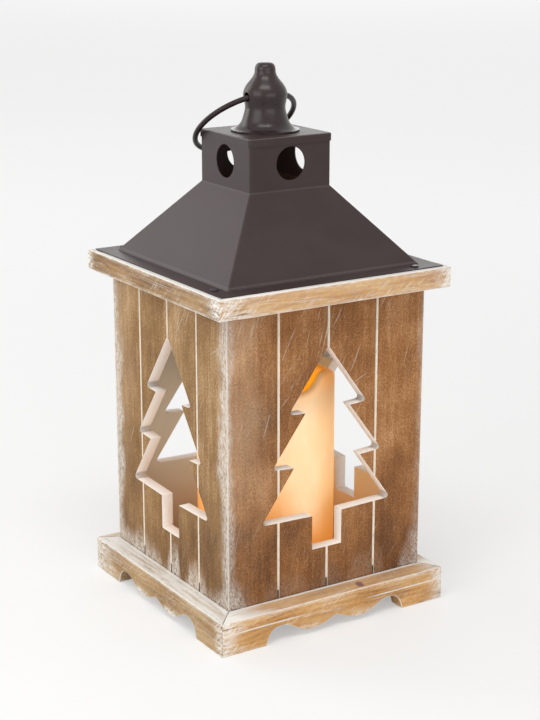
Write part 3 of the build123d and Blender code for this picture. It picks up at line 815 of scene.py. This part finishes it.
for side in sideAxes:
    dress(roundedCopy("wall_" + side, arrisLook["wall"]), wallFinish(side))
    foot, top = (corner.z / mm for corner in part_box("plinth_" + side))
    plinthPaint = pineFinish(side, "plinth", foot, top - pineLook["slopeDrop"])
    dress(roundedCopy("plinth_" + side, arrisLook["plinth"]), plinthPaint)
    under, over = (corner.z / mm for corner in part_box("top_rail_" + side))
    railPaint = pineFinish(side, "rail", under, over)
    dress(roundedCopy("top_rail_" + side, arrisLook["rail"]), railPaint)
print("wood dressed")

for name, look in metalPieces.items():
    paint = metalFinish(name, *look["paint"])
    for node in look["nodes"]:
        dress(frame["nodes"][node], paint)
print("metal dressed")

dress(buildWax(), waxFinish())
for name, look in plainPieces.items():
    paint = plainFinish(name, **{key: look[key] for key in look if key != "nodes"})
    for node in look["nodes"]:
        dress(frame["nodes"][node], paint)
print("candle dressed")

studio = {
    "floorHalf": 14.0,  # metres
    "floorColour": (0.88, 0.88, 0.875, 1),
    "floorRoughness": 0.9,
    "lift": (0.38, 0.68),  # white seen in the floor, near the lantern and far off; the smaller share near it is painted shade round the lantern
    "liftReach": (150.0, 1200.0),  # millimetres from the lantern's middle
    "world": 0.5,  # strength of the light from all round
    "white": (1, 1, 1, 1),
    "aim": (0, 0, 0.15),
}
lamps = {
    "keyLeft": {"place": (-1.5, -0.35, 0.7), "width": 1.2, "height": 1.0, "watts": 8.5},
    "highFront": {"place": (-0.45, -0.7, 1.7), "width": 1.3, "height": 0.45, "watts": 12},
    "fillFront": {"place": (-0.1, -1.9, 0.5), "width": 1.8, "height": 0.9, "watts": 8},
    "backLeft": {"place": (-0.9, 1.7, 1.1), "width": 1.2, "height": 1.2, "watts": 9},
    "lowLeft": {"place": (-1.15, 1.7, 0.3), "width": 0.9, "height": 0.5, "watts": 4},
    "backRight": {"place": (3.6, 5.4, 1.7), "width": 3.0, "height": 2.0, "watts": 30},
}


def seenRays(finish):
    # the camera, reflections and glass see the white studio
    path = finish.node("ShaderNodeLightPath").outputs
    camera, gloss, glass = (
        Value(finish, path["Is " + kind + " Ray"]) for kind in ("Camera", "Glossy", "Transmission")
    )
    return camera.most(gloss).most(glass)


def buildFloor():
    half = studio["floorHalf"]
    corners = [(-half, -half, 0), (half, -half, 0), (half, half, 0), (-half, half, 0)]
    mesh = bpy.data.meshes.new("floor")
    mesh.from_pydata(corners, [], [(0, 1, 2, 3)])
    floor = bpy.data.objects.new("floor", mesh)
    bpy.context.scene.collection.objects.link(floor)
    finish = Finish("paleFloor", Roughness=studio["floorRoughness"])
    finish.paint(Base_Color=studio["floorColour"])
    glow = finish.node("ShaderNodeEmission", {}, {"Color": studio["white"], "Strength": 1.0})
    near, far = studio["lift"]
    x, y = finish.axis((1, 0, 0)), finish.axis((0, 1, 0))
    away = ((x ** 2.0 + y ** 2.0) ** 0.5).rise(*studio["liftReach"])
    # less white near the lantern: painted shade that darkens the floor round it
    share = seenRays(finish) * (near + away * (far - near))
    shaders = {0: share, 1: finish.shader.outputs[0], 2: glow.outputs[0]}
    mixed = finish.node("ShaderNodeMixShader", {}, shaders)
    finish.feed(finish.output.inputs["Surface"], mixed.outputs[0])
    mesh.materials.append(finish.material)


def buildWorld():
    sky = Sky("studio")
    light = sky.node("ShaderNodeBackground", {}, {"Color": studio["white"], "Strength": studio["world"]})
    seen = sky.node("ShaderNodeBackground", {}, {"Color": studio["white"], "Strength": 1.0})
    shaders = {0: seenRays(sky), 1: light.outputs[0], 2: seen.outputs[0]}
    mixed = sky.node("ShaderNodeMixShader", {}, shaders)
    sky.node("ShaderNodeOutputWorld", {}, {"Surface": mixed.outputs[0]})
    bpy.context.scene.world = sky.world


def buildLamp(name, place, width, height, watts):
    data = bpy.data.lights.new(name, "AREA")
    data.energy = watts
    data.shape = "RECTANGLE"
    data.size = width
    data.size_y = height
    lamp = bpy.data.objects.new(name, data)
    bpy.context.scene.collection.objects.link(lamp)
    lamp.location = place
    lamp.rotation_euler = (Vector(studio["aim"]) - Vector(place)).to_track_quat("-Z", "Y").to_euler()


buildFloor()
buildWorld()
for name, lamp in lamps.items():
    buildLamp(name, **lamp)
print("studio built")

view = {  # degrees, metres, and millimetres for the lens
    "azimuth": -32.4,
    "elevation": 15.93,
    "distance": 0.92305,
    "aim": 0.13452,
    "shiftRight": 0.002587,
    "lens": 82.23,
    "sensor": 36.0,
}
azimuth, elevation = math.radians(view["azimuth"]), math.radians(view["elevation"])
ahead, rightward = math.cos(elevation), Vector((math.cos(azimuth), math.sin(azimuth), 0))
back = Vector((math.sin(azimuth) * ahead, -math.cos(azimuth) * ahead, math.sin(elevation)))
cameraData = bpy.data.cameras.new("camera")
cameraData.lens = view["lens"]
cameraData.sensor_width = view["sensor"]
camera = bpy.data.objects.new("camera", cameraData)
camera.location = Vector((0, 0, view["aim"])) + rightward * view["shiftRight"] + back * view["distance"]
camera.rotation_euler = back.to_track_quat("Z", "Y").to_euler()
bpy.context.scene.collection.objects.link(camera)
bpy.context.scene.camera = camera
bpy.context.scene.view_settings.view_transform = "Standard"
print("camera set")
